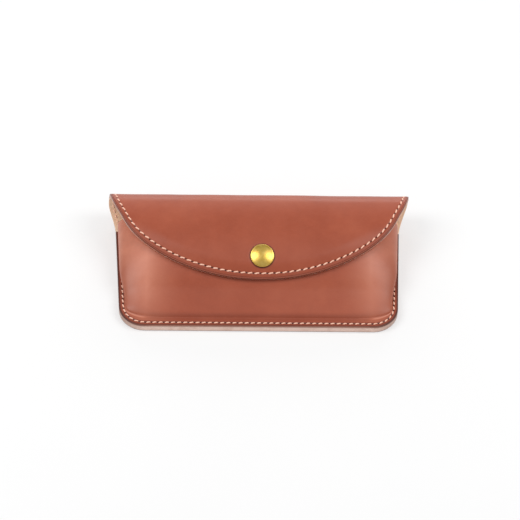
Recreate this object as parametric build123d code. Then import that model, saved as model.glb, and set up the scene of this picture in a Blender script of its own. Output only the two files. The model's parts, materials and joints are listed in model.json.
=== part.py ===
"""Leather glasses case with a folded flap and a press stud, lying closed on its back.

Millimetres. X runs along the width, +Y towards the fold, +Z up from the surface it lies on.
The origin is at the middle of the case's outline, on that surface.
"""

import math
import os

from build123d import *

# Sheets
LEATHER = 1.8
LINING = 0.7
SHEET = LEATHER + LINING
FLANGE_BASE = SHEET
FLANGE_LEATHER_BASE = FLANGE_BASE + LINING
FLANGE_TOP = FLANGE_LEATHER_BASE + LEATHER

# Outline, seen from above
HALF_DEPTH = 43.5
BOTTOM_HALF_WIDTH = 81.3
BACK_TOP_HALF_WIDTH = 84.9
FOLD_HALF_WIDTH = 89.5
CORNER_RADIUS = 11.0

# Fold, seen from the side: a round bend of the sheet into the flap
FOLD_RADIUS = 15.0
FOLD_Y = HALF_DEPTH - FOLD_RADIUS
FOLD_START = -90.0
FOLD_END = 82.0
FOLD_WIDEST_TURN = 39.0
STRIP_COUNT = 4
STRIP_TURN = (FOLD_END - FOLD_START) / STRIP_COUNT
STRIP_GAP_TURN = 1.3

# Flap: a shallow vault that carries on from the fold, with a half-elliptical free edge.
# VAULT_Y and VAULT_Z are the vault's centre line, which leaves the two surfaces tangent.
FLAP_RADIUS = 75.0
VAULT_Y = FOLD_Y - (FLAP_RADIUS - FOLD_RADIUS) * math.cos(math.radians(FOLD_END))
VAULT_Z = FOLD_RADIUS - (FLAP_RADIUS - FOLD_RADIUS) * math.sin(math.radians(FOLD_END))
FLAP_END = 126.0
FLAP_EDGE_Y = -20.0
FLAP_EDGE_WIDTH = 92.0
FLAP_EDGE_DEPTH = 64.0

# Front panel, moulded up from its sewn flange
FRONT_RADIUS = 70.0
FOOT_Y = -35.7
APRON_END_Y = -19.5
APRON_RISE = 8.5
APRON_POWER = 0.65
SIDE_FLANGE = 4.0
WALL_CORNER = 14.0
SHOULDER_WIDTH = 17.0
SHOULDER_SHARE = 0.8
STATION_STEP = 6.5
MOUTH_SIDE_Y = 27.5
MOUTH_SCOOP = 5.0

# Stitches
SEAM_INSET = 2.7
SEAM_PITCH = 3.6
SEAM_END_Y = 25.0
FLAP_STITCH_INSET = 4.0
FLAP_PITCH = 4.1
FLAP_STITCH_END_Y = 28.5
STITCH_WIDTH = 1.0
STITCH_SHARE = 0.76
STITCH_SINK = 0.4
STITCH_RISE = 0.3

# Press stud, in heights along its axis from the flap's outer face
SNAP_X = 1.8
SNAP_TILT = 21.2
CAP_RADIUS = 7.0
CAP_RISE = 1.6
CAP_WALL = 0.5
CAP_SEAT = -0.35
SOCKET_RADIUS = 6.0
SOCKET_TOP = -SHEET
SOCKET_BOTTOM = -4.5
SOCKET_PLATE = 0.4
SOCKET_BORE = 4.0
SPRING_RADIUS = 4.0
SPRING_WIRE = 0.3
SPRING_HEIGHT = -3.8
SPRING_TURN = 330.0
CAP_POST_RADIUS = 1.8
CAP_POST_BORE = 1.2
POST_ROLL_RADIUS = 2.6
FRONT_FACE = FRONT_RADIUS - FLAP_RADIUS
STUD_SEAT = FRONT_FACE - 0.2
STUD_BASE_RADIUS = 4.8
STUD_NECK_RADIUS = 1.9
STUD_HEAD_RADIUS = 2.6
STUD_HEAD_BOTTOM = -4.2
STUD_TOP = -3.5
STUD_BORE_TOP = -4.0
STUD_POST_RADIUS = 1.3
STUD_POST_SEAT = -6.95
STUD_POST_FLANGE_RADIUS = 3.8
BRASS = 0.4

WIDE = 2 * FOLD_HALF_WIDTH
TALL = 60.0
CLEAR = 2.0


def polar(centre, radius, degrees):
    """Point in the Y-Z plane at an angle from +Y about a centre."""
    angle = math.radians(degrees)
    return centre[0] + radius * math.cos(angle), centre[1] + radius * math.sin(angle)


def curved_sheet(centre, outer, inner, start, end):
    """Sheet bent about an X line, wider than the case."""
    outside = CenterArc(centre, outer, start, end - start)
    inside = CenterArc(centre, inner, start, end - start)
    ends = [Line(outside @ 1, inside @ 1), Line(inside @ 0, outside @ 0)]
    section = make_face([outside, inside, *ends])
    return extrude(Plane.YZ * section, amount=WIDE, both=True)


def side_half_width(y):
    """Half-width of the back's outline, which widens evenly towards the fold."""
    share = (y + HALF_DEPTH) / (FOLD_Y + HALF_DEPTH)
    return BOTTOM_HALF_WIDTH + share * (BACK_TOP_HALF_WIDTH - BOTTOM_HALF_WIDTH)


def layer(base, thickness):
    """Flat sheet with the back's outline and rounded bottom corners."""
    corners = [(-BACK_TOP_HALF_WIDTH, FOLD_Y), (-BOTTOM_HALF_WIDTH, -HALF_DEPTH)]
    corners += [(-x, y) for x, y in reversed(corners)]
    outline = make_face(Polyline(*corners, close=True))
    bottom = outline.vertices().sort_by(Axis.Y)[:2]
    outline = fillet(bottom, CORNER_RADIUS)
    return extrude(Pos(Z=base) * outline, amount=thickness)


def front_height(y):
    """Height of the front's outer face on its centre line: a rising apron, then the vault."""
    if y < APRON_END_Y:
        share = (y - FOOT_Y) / (APRON_END_Y - FOOT_Y)
        return FLANGE_TOP + APRON_RISE * share**APRON_POWER
    return VAULT_Z + math.sqrt(FRONT_RADIUS**2 - (y - VAULT_Y) ** 2)


def wall_half_width(y):
    """Half-width of the moulded wall's foot, rounded at the bottom corners."""
    into = max(0.0, 1 - (y - FOOT_Y) / WALL_CORNER)
    rounding = WALL_CORNER * (1 - math.sqrt(1 - into**2))
    return side_half_width(y) - SIDE_FLANGE - rounding


def dome_section(y, inset, base):
    """Arched section across the front, inset evenly from its outer face."""
    half = wall_half_width(y) - inset
    top = front_height(y) - inset
    rise = SHOULDER_SHARE * (top - FLANGE_LEATHER_BASE)
    flat = half - SHOULDER_WIDTH
    right = EllipticalCenterArc((flat, top - rise), SHOULDER_WIDTH, rise, start_angle=0, arc_size=90)
    left = EllipticalCenterArc((-flat, top - rise), SHOULDER_WIDTH, rise, start_angle=90, arc_size=90)
    edges = [
        right,
        Line(right @ 1, left @ 0),
        left,
        Line(left @ 1, (-half, base)),
        Line((-half, base), (half, base)),
        Line((half, base), right @ 0),
    ]
    across = Plane(origin=(0, y, 0), x_dir=(1, 0, 0), z_dir=(0, -1, 0))
    return across * make_face(edges)


def dome(inset, base):
    """Solid under the moulded front, past the mouth."""
    start = FOOT_Y + inset
    count = math.ceil((FOLD_Y + CLEAR - start) / STATION_STEP)
    step = (FOLD_Y + CLEAR - start) / count
    near = [start, start + step / 4, start + step / 2]
    stations = near + [start + step * i for i in range(1, count + 1)]
    return loft([dome_section(y, inset, base) for y in stations])


def past_mouth():
    """Everything beyond the front's scooped mouth edge."""
    edge = ThreePointArc(
        (-WIDE / 2, MOUTH_SIDE_Y), (0, MOUTH_SIDE_Y - MOUTH_SCOOP), (WIDE / 2, MOUTH_SIDE_Y)
    )
    far = [(-WIDE / 2, MOUTH_SIDE_Y), (-WIDE / 2, TALL), (WIDE / 2, TALL), (WIDE / 2, MOUTH_SIDE_Y)]
    region = make_face([edge, Polyline(*far)])
    return extrude(Pos(Z=-CLEAR) * region, amount=TALL)


def fold_outline():
    """Prism along Y that trims the fold to its widening sides."""
    widest_z = FOLD_RADIUS + FOLD_RADIUS * math.sin(math.radians(FOLD_WIDEST_TURN))
    right = [(BACK_TOP_HALF_WIDTH, 0), (FOLD_HALF_WIDTH, widest_z), (FOLD_HALF_WIDTH, TALL)]
    left = [(-x, z) for x, z in reversed(right)]
    return extrude(Plane.XZ * make_face(Polyline(*right, *left, close=True)), amount=TALL, both=True)


def flap_outline():
    """Prism along Z inside the flap's free edge."""
    ellipse = Pos(0, FLAP_EDGE_Y + FLAP_EDGE_DEPTH) * Ellipse(FLAP_EDGE_WIDTH, FLAP_EDGE_DEPTH)
    return extrude(ellipse & Rectangle(2 * FOLD_HALF_WIDTH, 2 * TALL), amount=TALL)


def on_snap(shape):
    """Places a piece of the press stud on its tilted axis."""
    angle = 90 + SNAP_TILT
    y, z = polar((VAULT_Y, VAULT_Z), FLAP_RADIUS, angle)
    out = Vector(0, *polar((0, 0), 1, angle))
    return Plane(origin=(SNAP_X, y, z), x_dir=(1, 0, 0), z_dir=out) * shape


def turned(*points):
    """Solid of revolution about the snap's axis from (radius, height) corners."""
    return on_snap(revolve(Plane.XZ * make_face(Polyline(*points, close=True)), Axis.Z))


def drilled(radius, bottom, top):
    """Round cutter on the snap's axis."""
    return turned((0, bottom), (radius, bottom), (radius, top), (0, top))


def back_panel():
    return layer(0, LEATHER) - fold_gap()


def back_lining():
    return layer(LEATHER, LINING) - fold_gap()


def fold_gap():
    """Slot that keeps the back clear of the first strip of the fold."""
    width = FOLD_RADIUS * math.radians(STRIP_GAP_TURN)
    return Pos(0, FOLD_Y, 0) * Box(2 * WIDE, width, TALL)


def front_panel():
    shell = layer(FLANGE_LEATHER_BASE, LEATHER) + dome(0, FLANGE_LEATHER_BASE)
    shell -= dome(LEATHER, FLANGE_LEATHER_BASE - CLEAR)
    shell -= past_mouth()
    shell -= drilled(STUD_BASE_RADIUS, STUD_SEAT, 0)
    return shell - drilled(STUD_POST_RADIUS, STUD_POST_SEAT - CLEAR, 0)


def front_lining():
    shell = layer(FLANGE_BASE, LINING) + dome(LEATHER, FLANGE_BASE)
    shell -= dome(SHEET, FLANGE_BASE - CLEAR)
    shell -= past_mouth()
    shell -= drilled(STUD_POST_FLANGE_RADIUS, STUD_POST_SEAT - CLEAR, STUD_POST_SEAT)
    return shell - drilled(STUD_POST_RADIUS, STUD_POST_SEAT - CLEAR, 0)


def fold_strip(index, depth, thickness):
    """One strip of the fold, counted from the back, at a depth in from its outer face."""
    start = FOLD_START + STRIP_TURN * index + STRIP_GAP_TURN / 2
    end = start + STRIP_TURN - STRIP_GAP_TURN
    outer = FOLD_RADIUS - depth
    return curved_sheet((FOLD_Y, FOLD_RADIUS), outer, outer - thickness, start, end) & fold_outline()


def flap_sheet(depth, thickness):
    """Sheet of the flap at a depth in from its outer face."""
    gap = STRIP_GAP_TURN / 2 * FOLD_RADIUS / FLAP_RADIUS
    outer = FLAP_RADIUS - depth
    sheet = curved_sheet((VAULT_Y, VAULT_Z), outer, outer - thickness, FOLD_END + gap, FLAP_END)
    return sheet & flap_outline()


def flap_leather():
    sheet = flap_sheet(0, LEATHER) - drilled(CAP_RADIUS, CAP_SEAT, CAP_RISE)
    return sheet - drilled(CAP_POST_RADIUS, SOCKET_TOP, 0)


def flap_lining():
    sheet = flap_sheet(LEATHER, LINING) - drilled(SOCKET_RADIUS, SOCKET_BOTTOM, SOCKET_TOP)
    return sheet - drilled(CAP_POST_RADIUS, SOCKET_TOP - CLEAR, 0)


def cap_crown(radius, rise):
    """Radius of the sphere whose cap has this edge radius and rise."""
    return (radius**2 + rise**2) / (2 * rise)


def snap_cap():
    """Pressed brass dome with a turned-down rim, hollow inside."""
    inner = CAP_RADIUS - CAP_WALL
    inner_rise = CAP_RISE - CAP_WALL
    outside = RadiusArc((0, CAP_RISE), (CAP_RADIUS, 0), cap_crown(CAP_RADIUS, CAP_RISE))
    inside = RadiusArc((inner, 0), (0, inner_rise), -cap_crown(inner, inner_rise))
    rim = Polyline((CAP_RADIUS, 0), (CAP_RADIUS, CAP_SEAT), (inner, CAP_SEAT), (inner, 0))
    crown = Line((0, inner_rise), (0, CAP_RISE))
    return on_snap(revolve(Plane.XZ * make_face([outside, rim, inside, crown]), Axis.Z))


def snap_cap_post():
    """Eyelet whose head fills the cap's rim and whose end is rolled over in the socket."""
    head = CAP_RADIUS - CAP_WALL
    return turned(
        (CAP_POST_BORE, 0),
        (head, 0),
        (head, CAP_SEAT),
        (CAP_POST_RADIUS, CAP_SEAT),
        (CAP_POST_RADIUS, SOCKET_TOP - SOCKET_PLATE),
        (POST_ROLL_RADIUS, SOCKET_TOP - SOCKET_PLATE),
        (POST_ROLL_RADIUS, SOCKET_TOP - SOCKET_PLATE - BRASS / 2),
        (CAP_POST_BORE, SOCKET_TOP - SOCKET_PLATE - BRASS / 2),
    )


def snap_socket():
    """Brass socket with a groove for its ring spring."""
    groove = SPRING_RADIUS + SPRING_WIRE
    return turned(
        (CAP_POST_RADIUS, SOCKET_TOP),
        (SOCKET_RADIUS, SOCKET_TOP),
        (SOCKET_RADIUS, SOCKET_BOTTOM),
        (SOCKET_BORE, SOCKET_BOTTOM),
        (SOCKET_BORE, SPRING_HEIGHT - SPRING_WIRE),
        (groove, SPRING_HEIGHT - SPRING_WIRE),
        (groove, SPRING_HEIGHT + SPRING_WIRE),
        (SOCKET_BORE, SPRING_HEIGHT + SPRING_WIRE),
        (SOCKET_BORE, SOCKET_TOP - SOCKET_PLATE),
        (CAP_POST_RADIUS, SOCKET_TOP - SOCKET_PLATE),
    )


def snap_spring():
    """Open ring of spring wire."""
    wire = Plane.XZ * Pos(SPRING_RADIUS, SPRING_HEIGHT) * Circle(SPRING_WIRE)
    return on_snap(revolve(wire, Axis.Z, SPRING_TURN))


def snap_stud():
    """Stud with a base on the front panel, a neck and a wider head."""
    return turned(
        (STUD_POST_RADIUS, STUD_SEAT),
        (STUD_BASE_RADIUS, STUD_SEAT),
        (STUD_BASE_RADIUS, STUD_SEAT + BRASS),
        (STUD_NECK_RADIUS, STUD_SEAT + BRASS),
        (STUD_NECK_RADIUS, STUD_HEAD_BOTTOM),
        (STUD_HEAD_RADIUS, STUD_HEAD_BOTTOM + BRASS / 2),
        (STUD_NECK_RADIUS, STUD_TOP),
        (0, STUD_TOP),
        (0, STUD_BORE_TOP),
        (STUD_POST_RADIUS, STUD_BORE_TOP),
    )


def snap_stud_post():
    """Rivet from inside the pouch, through the front, into the stud."""
    return turned(
        (0, STUD_POST_SEAT - BRASS),
        (STUD_POST_FLANGE_RADIUS, STUD_POST_SEAT - BRASS),
        (STUD_POST_FLANGE_RADIUS, STUD_POST_SEAT),
        (STUD_POST_RADIUS, STUD_POST_SEAT),
        (STUD_POST_RADIUS, STUD_BORE_TOP),
        (0, STUD_BORE_TOP),
    )


def stitches(path, pitch, place, low, high):
    """One stitch for each pitch of a path; place gives the plane at a point and direction."""
    count = round(path.length / pitch)
    shape = extrude(SlotOverall(STITCH_SHARE * pitch, STITCH_WIDTH), amount=high - low)
    planes = []
    for i in range(count):
        share = (i + 0.5) / count
        planes.append(place(path @ share, path % share))
    return Compound(children=[plane * (Pos(Z=low) * shape) for plane in planes])


def seam_path():
    """U of the seam, inset from the edge."""
    bottom = BOTTOM_HALF_WIDTH - SEAM_INSET
    top = side_half_width(SEAM_END_Y) - SEAM_INSET
    corner_y = SEAM_INSET - HALF_DEPTH
    right = [(bottom, corner_y), (top, SEAM_END_Y)]
    left = [(-x, y) for x, y in reversed(right)]
    return FilletPolyline(*left, *right, radius=CORNER_RADIUS - SEAM_INSET)


def seam_thread(face_z, low, high):
    """Stitches of the seam on a flat face."""

    def place(point, direction):
        return Plane(origin=(point.X, point.Y, face_z), x_dir=direction, z_dir=(0, 0, 1))

    return stitches(seam_path(), SEAM_PITCH, place, low, high)


def flap_thread(radius, low, high):
    """Stitches along the flap's edge on a face of the vault."""
    width = FLAP_EDGE_WIDTH - FLAP_STITCH_INSET
    depth = FLAP_EDGE_DEPTH - FLAP_STITCH_INSET
    middle_y = FLAP_EDGE_Y + FLAP_EDGE_DEPTH
    sweep = math.degrees(math.acos((middle_y - FLAP_STITCH_END_Y) / depth))
    path = EllipticalCenterArc((0, middle_y), width, depth, start_angle=270 - sweep, arc_size=2 * sweep)

    def place(point, direction):
        height = math.sqrt(radius**2 - (point.Y - VAULT_Y) ** 2)
        slope = (VAULT_Y - point.Y) / height
        origin = (point.X, point.Y, VAULT_Z + height)
        along = (direction.X, direction.Y, direction.Y * slope)
        return Plane(origin=origin, x_dir=along, z_dir=(0, point.Y - VAULT_Y, height))

    return stitches(path, FLAP_PITCH, place, low, high)


def nodes():
    """Every separate piece by name."""
    pieces = {
        "back_panel": back_panel(),
        "back_lining": back_lining(),
        "front_panel": front_panel(),
        "front_lining": front_lining(),
        "seam_thread_front": seam_thread(FLANGE_TOP, -STITCH_SINK, STITCH_RISE),
        "seam_thread_back": seam_thread(0, 0, STITCH_SINK),
        "snap_stud": snap_stud(),
        "snap_stud_post": snap_stud_post(),
        "flap_leather": flap_leather(),
        "flap_lining": flap_lining(),
        "flap_thread_top": flap_thread(FLAP_RADIUS, -STITCH_SINK, STITCH_RISE),
        "flap_thread_under": flap_thread(FLAP_RADIUS - SHEET, -STITCH_RISE, STITCH_SINK),
        "snap_cap": snap_cap(),
        "snap_cap_post": snap_cap_post(),
        "snap_socket": snap_socket(),
        "snap_spring": snap_spring(),
    }
    for i in range(STRIP_COUNT):
        pieces[f"fold_strip_{i + 1}"] = fold_strip(i, 0, LEATHER)
        pieces[f"fold_lining_{i + 1}"] = fold_strip(i, LEATHER, LINING)
    return pieces


if __name__ == "__main__":
    os.makedirs("parts", exist_ok=True)
    for name, piece in nodes().items():
        export_step(piece, f"parts/{name}.step")
    for i in range(STRIP_COUNT + 1):
        hinge = polar((FOLD_Y, FOLD_RADIUS), FOLD_RADIUS, FOLD_START + STRIP_TURN * i)
        print("hinge", i + 1, [round(value, 4) for value in hinge])
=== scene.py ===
import json
import math

import bmesh
import bpy
import numpy as np
from mathutils import Matrix, Vector

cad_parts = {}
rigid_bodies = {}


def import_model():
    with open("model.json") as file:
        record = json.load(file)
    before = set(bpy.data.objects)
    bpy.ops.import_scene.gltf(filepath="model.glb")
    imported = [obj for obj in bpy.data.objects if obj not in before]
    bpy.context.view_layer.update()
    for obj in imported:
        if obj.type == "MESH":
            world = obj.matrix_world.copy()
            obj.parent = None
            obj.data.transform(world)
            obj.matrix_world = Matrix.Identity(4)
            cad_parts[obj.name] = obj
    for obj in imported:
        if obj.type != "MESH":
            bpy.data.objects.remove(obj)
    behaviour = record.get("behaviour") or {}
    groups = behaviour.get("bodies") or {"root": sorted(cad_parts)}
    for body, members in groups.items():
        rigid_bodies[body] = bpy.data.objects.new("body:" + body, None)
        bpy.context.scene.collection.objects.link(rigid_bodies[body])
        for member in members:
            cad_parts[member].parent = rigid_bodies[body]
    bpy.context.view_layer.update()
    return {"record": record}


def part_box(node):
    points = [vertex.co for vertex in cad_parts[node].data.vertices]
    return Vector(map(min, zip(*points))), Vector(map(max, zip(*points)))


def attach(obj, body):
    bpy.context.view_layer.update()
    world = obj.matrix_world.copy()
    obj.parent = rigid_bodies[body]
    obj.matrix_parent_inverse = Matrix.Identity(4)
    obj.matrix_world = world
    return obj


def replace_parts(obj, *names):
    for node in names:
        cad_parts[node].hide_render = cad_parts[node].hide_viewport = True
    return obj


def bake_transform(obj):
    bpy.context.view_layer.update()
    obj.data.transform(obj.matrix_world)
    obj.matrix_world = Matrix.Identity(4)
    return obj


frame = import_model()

# The leather glasses case, lying closed on its back. Shapes are worked out in millimetres, in the
# CAD frame, and become metres when a mesh is made. The back, fold and flap are one bent sheet: a
# point of it is (x, s), with s the distance along its outer face from where the fold starts.

MM = 0.001

# ---- sizes from the frame


def node_box(node):
    """Lowest and highest corner of a CAD node in millimetres."""
    return [np.array(corner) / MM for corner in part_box(node)]


def node_radius(node):
    """Radius of a round CAD node, from its width."""
    return np.ptp([corner[0] for corner in node_box(node)]) / 2


JOINTS = frame["record"]["behaviour"]["joints"]
BODIES = [JOINTS[0]["parent"]] + [joint["child"] for joint in JOINTS]
HINGES = [np.array(joint["pos_m"][1:]) / MM for joint in JOINTS]
LEATHER = node_box("back_panel")[1][2]
SHEET = node_box("back_lining")[1][2]
FLANGE_TOP = 2 * SHEET
BOTTOM_Y = node_box("back_panel")[0][1]
FOLD_Y = HINGES[0][0]
FOLD_RADIUS = node_box("fold_strip_3")[1][1] - FOLD_Y
FOLD_TURN = math.radians(sum(joint["range_deg"][1] for joint in JOINTS))
FOLD_ANGLE = FOLD_TURN - math.pi / 2
FOLD_LENGTH = FOLD_RADIUS * FOLD_TURN
STRIP = FOLD_LENGTH / (len(JOINTS) - 1)
TOP_HALF_WIDTH = node_box("back_panel")[1][0]
SNAP_X = np.mean([corner[0] for corner in node_box("snap_cap")])
CAP_RADIUS = node_radius("snap_cap")
SOCKET_RADIUS = node_radius("snap_socket")
STUD_RADIUS = node_radius("snap_stud")
STUD_FLANGE = node_radius("snap_stud_post")

# Sizes that the frame doesn't state
BOTTOM_HALF_WIDTH = 81.3
CORNER_RADIUS = 15.0
FLAP_RADIUS = 75.0
FRONT_RADIUS = 70.0
SNAP_TILT = math.radians(21.2)
SNAP_DIMPLE = 0.35
VAULT_Y = FOLD_Y - (FLAP_RADIUS - FOLD_RADIUS) * math.cos(FOLD_ANGLE)
VAULT_Z = FOLD_RADIUS - (FLAP_RADIUS - FOLD_RADIUS) * math.sin(FOLD_ANGLE)

# Flap's free edge: a superellipse seen from above, cut in at its shoulders. The flap sits a little
# to the right, and its edge is tucked down onto the front.
EDGE_TIP_Y = -19.5
EDGE_DEPTH = 61.4
EDGE_WIDTH = 88.5
EDGE_POWER = 2.085
EDGE_TRIM = 1.3
EDGE_TRIM_Y = 21.0
EDGE_TRIM_SPREAD = 9.0
WIDEST = 89.5
WIDEST_SHARE = 0.52
FLAP_SHIFT = 0.8
SHIFT_START = 0.3 * FOLD_LENGTH
SHIFT_END = 0.8 * FOLD_LENGTH
TUCK = 2.0
TUCK_WIDTH = 11.0
TUCK_START = 2.0
TUCK_FULL = 34.0

# Moulded front
MOUTH_Y = 27.5
MOUTH_SCOOP = 5.0
APRON_Y = -19.5
APRON_SLOPE = 0.33
APRON_EASE = 2.5
FOOT_Y = -37.4
SIDE_FOOT = 3.4
SHOULDER_WIDTH = 30.0
SHOULDER_DEPTH = 8.0
SHOULDER_POWER = 2.7
WALL_BULGE = 3.0
BULGE_START_Y = -27.0
BULGE_FULL_Y = -6.0
FLANGE_WIDTH = 3.1
CROWN_SHARE = 0.55
RISES = [0.0, 0.05, 0.12, 0.2, 0.28, 0.36, 0.44, 0.52, 0.6, 0.67, 0.73, 0.79, 0.84, 0.88]
RISES += [0.92, 0.95]
FRONT_ROWS = 44
FOOT_PASSES = 9

# Painted light on the front: painted shade in its foot's crease by mesh row, painted highlights at
# its bottom corners and side shoulders
CREASE_SHADE = [0.35, 0.4, 0.5, 0.55, 0.5, 0.45, 0.4, 0.4, 0.45, 0.55, 0.65, 0.7, 0.65, 0.5, 0.3]
CREASE_SHADE += [0.15]
CREASE_START = -3
CORNER_HIGHLIGHT = [0.3, 1.2, 0.6]
CORNER_X = (62, 69)
CORNER_Y = (-31, -25)
SHOULDER_HIGHLIGHT_START = 41.0
SHOULDER_HIGHLIGHT_PEAK = 66.0
SHOULDER_HIGHLIGHT_END = 82.0

# Stitches. The flap's distances from its edge, of which FLAP_INSET is that of its stitches, shrink
# to a share of themselves: one at its sides and a larger one at its tip.
SEAM_INSET = 2.45
SEAM_PITCH = 3.6
SEAM_TOP_Y = 26.5
SEAM_EASE = 20.0
FLAP_INSET = 4.0
FLAP_SIDE_SHARE = 0.74
FLAP_TIP_SHARE = 0.91
SHARE_START = 66.0
SHARE_END = 100.0
FLAP_PITCH = 4.1
FLAP_EASE = 25.0
COLUMNS_PER_STITCH = 4
SEAM_EDGE_SCALE = 0.42
BACK_JOIN = SEAM_TOP_Y - FOLD_Y
FLAP_JOIN = FOLD_LENGTH + STRIP / 2
PIECE_ENDS = [BACK_JOIN] + [STRIP * (i + 0.5) for i in range(len(JOINTS))]

# Distances in from a cut edge at which a leather face has a row of points, and its relief there
BAND = [0, 0.06, 0.18, 0.36, 0.6, 0.75, 0.92, 1.1, 1.3, 1.5, 1.9, 2.4, 2.9, 3.3, 3.65, 4.0]
SEAM_BAND = BAND[:]
BAND += [4.35, 4.7, 5.2, 6.0, 7.2]
ROUND = 0.6
CREASE = 1.1
STRETCHED_CREASE = 1.7
CREASE_WIDTH = 0.25
CREASE_DEPTH = 0.2
CHANNEL_WIDTH = 0.7
CHANNEL_DEPTH = 0.12
CROWN_HEIGHT = 0.06
HOLE_SPREAD = 0.4
HOLE_DEPTH = 0.55

# Distances given to all points past the band, and past the front's seam
FAR = BAND[-1] + 4
INSIDE = 12.0
# Directions in from the left and right end of an outline
SIDEWAYS = [(1, 0), (-1, 0)]
# Angle from which a sheet's edge stays crisp
SHARP = math.radians(38)


# ---- curves and grids


def smooth(low, high, x):
    """Smoothstep from 0 at low to 1 at high."""
    t = np.clip((x - low) / (high - low), 0, 1)
    return t * t * (3 - 2 * t)


def bell(x, centre, spread):
    """1 at the centre, falling to 0 on both sides."""
    return np.exp(-(((x - centre) / spread) ** 2))


def lengths(path):
    """Distance of each point along a path."""
    steps = np.linalg.norm(np.diff(path, axis=0), axis=1)
    return np.concatenate([[0], np.cumsum(steps)])


def at(path, marks, places):
    """Points of a path, or of what goes with it, at marks measured along it."""
    return np.stack([np.interp(places, marks, column) for column in np.asarray(path).T], axis=-1)


def unit(vectors):
    return vectors / np.linalg.norm(vectors, axis=-1, keepdims=True)


def hermite(t, start, end, start_slope, end_slope):
    """Cubic from start to end over t from 0 to 1, with slopes per unit of t."""
    return (
        (2 * t**3 - 3 * t**2 + 1) * start
        + (t**3 - 2 * t**2 + t) * start_slope
        + (3 * t**2 - 2 * t**3) * end
        + (t**3 - t**2) * end_slope
    )


def flap_y(s):
    """Height on the plan, y, of a place on the flap's vault."""
    return VAULT_Y + FLAP_RADIUS * np.cos(FOLD_ANGLE + (s - FOLD_LENGTH) / FLAP_RADIUS)


def flap_s(y):
    """Distance along the sheet of a place on the flap's vault."""
    return FOLD_LENGTH + FLAP_RADIUS * (np.arccos((y - VAULT_Y) / FLAP_RADIUS) - FOLD_ANGLE)


def edge_trim(y):
    """How far the flap's shoulders are cut in from the superellipse."""
    return EDGE_TRIM * bell(y, EDGE_TRIM_Y, EDGE_TRIM_SPREAD)


def edge_half_width(y):
    """Half-width of the flap inside its free edge."""
    share = np.clip((EDGE_TIP_Y + EDGE_DEPTH - y) / EDGE_DEPTH, 0, 1)
    return EDGE_WIDTH * (1 - share**EDGE_POWER) ** (1 / EDGE_POWER) - edge_trim(y)


def back_half_width(y):
    """Half-width of the back's outline above its round corners."""
    share = (y - BOTTOM_Y) / (FOLD_Y - BOTTOM_Y)
    return BOTTOM_HALF_WIDTH + share * (TOP_HALF_WIDTH - BOTTOM_HALF_WIDTH)


def sheet_half_width(s):
    """Half-width of the sheet: even on the back, swelling round the fold, then the flap's edge."""
    s = np.asarray(s, float)
    widest = WIDEST_SHARE * FOLD_LENGTH
    end = edge_half_width(flap_y(FOLD_LENGTH))
    slope = (edge_half_width(flap_y(FOLD_LENGTH + 1)) - end) * (FOLD_LENGTH - widest)
    start_slope = (TOP_HALF_WIDTH - BOTTOM_HALF_WIDTH) / (FOLD_Y - BOTTOM_Y) * widest
    swell = hermite(np.clip(s / widest, 0, 1), TOP_HALF_WIDTH, WIDEST, start_slope, 0)
    turn = hermite(np.clip((s - widest) / (FOLD_LENGTH - widest), 0, 1), WIDEST, end, 0, slope)
    flap = edge_half_width(flap_y(np.maximum(s, FOLD_LENGTH)))
    return np.select(
        [s < 0, s < widest, s < FOLD_LENGTH], [back_half_width(FOLD_Y + s), swell, turn], flap
    )


def wobble(x, s):
    """Gentle unevenness of the leather, outward, so that no face is perfectly true."""
    waves = [(0.045, 0.031, 0.3, 0.10), (-0.028, 0.083, 1.9, 0.07), (0.097, 0.052, 4.1, 0.05)]
    waves += [(0.151, -0.118, 2.6, 0.03), (-0.21, 0.09, 5.2, 0.02)]
    return sum(size * np.sin(a * x + b * s + phase) for a, b, phase, size in waves)


def snap_place():
    """Centre of the press stud on the flap's outer face."""
    angle = math.pi / 2 + SNAP_TILT
    y, z = FLAP_RADIUS * math.cos(angle), FLAP_RADIUS * math.sin(angle)
    return np.array([SNAP_X, VAULT_Y + y, VAULT_Z + z])


def sheet_profile(s):
    """Outer face and outward direction at s, as (y, z) and (y, z)."""
    fold = np.clip(s, 0, FOLD_LENGTH) / FOLD_RADIUS - math.pi / 2
    vault = FOLD_ANGLE + np.maximum(s - FOLD_LENGTH, 0) / FLAP_RADIUS
    angle = np.where(s > FOLD_LENGTH, vault, fold)
    radius = np.where(s > FOLD_LENGTH, FLAP_RADIUS, FOLD_RADIUS)
    centre_y = np.where(s > FOLD_LENGTH, VAULT_Y, FOLD_Y)
    centre_z = np.where(s > FOLD_LENGTH, VAULT_Z, FOLD_RADIUS)
    out = np.stack([np.cos(angle), np.sin(angle)], axis=-1)
    y = centre_y + radius * out[..., 0] + np.minimum(s, 0)
    z = centre_z + radius * out[..., 1]
    return np.stack([y, z], axis=-1), out


def sheet_point(x, s, depth):
    """Point of the bent sheet at a depth in from its outer face."""
    x = x + FLAP_SHIFT * smooth(SHIFT_START, SHIFT_END, s)
    place, out = sheet_profile(s)
    snap_s = flap_s(snap_place()[1])
    from_snap = np.hypot(x - SNAP_X, s - snap_s)
    dimple = SNAP_DIMPLE * np.exp(-((from_snap / (CAP_RADIUS + 0.9)) ** 8))
    loose = smooth(0, STRIP, s)
    inward = depth + dimple - loose * wobble(x, s)
    y = place[..., 0] - out[..., 0] * inward
    z = place[..., 1] - out[..., 1] * inward
    return np.stack([x, y, z], axis=-1)


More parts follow.
